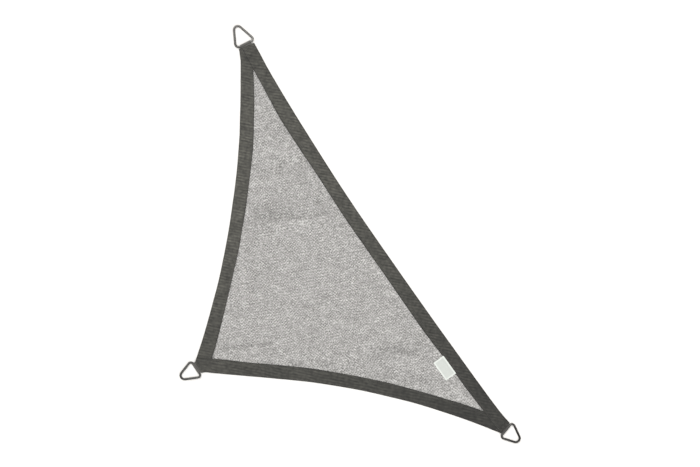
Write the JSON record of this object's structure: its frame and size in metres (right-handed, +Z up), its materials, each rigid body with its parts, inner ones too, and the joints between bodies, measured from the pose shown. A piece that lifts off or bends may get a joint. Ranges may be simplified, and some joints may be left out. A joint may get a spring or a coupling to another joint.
{
  "type": "shade sail",
  "caption": "Right-angled triangular shade sail lying flat: a sheer knitted panel in a broad opaque folded border, with a webbing loop and a welded wire ring at each corner.",
  "frame": {"origin": "on the ground, under the middle of the box of the whole sail as it lies flat", "axes": "+Z up, square to the cloth; +X along the lower leg, from the right-angled corner to the foot; +Y along the left leg, from the right-angled corner to the head; the right-angled corner is at -X -Y"},
  "size_m": [2.0892, 2.1512, 0.0156],
  "materials": {
    "panel_knit": "sheer warp-knitted anthracite yarn, see-through between the stitches",
    "border_knit": "dense opaque anthracite knit, folded, matte",
    "loop_webbing": "flat woven webbing, matte",
    "stainless_wire": "drawn round stainless wire, bent and butt-welded, satin bright",
    "label_weave": "plain white woven tape, bare"
  },
  "bodies": {
    "root": {"cloth": "panel_knit", "band_left": "border_knit", "band_lower": "border_knit", "band_long": "border_knit", "loop_square": "loop_webbing", "loop_head": "loop_webbing", "loop_foot": "loop_webbing", "ring_square": "stainless_wire", "ring_head": "stainless_wire", "ring_foot": "stainless_wire", "label": "label_weave"}
  },
  "joints": []
}
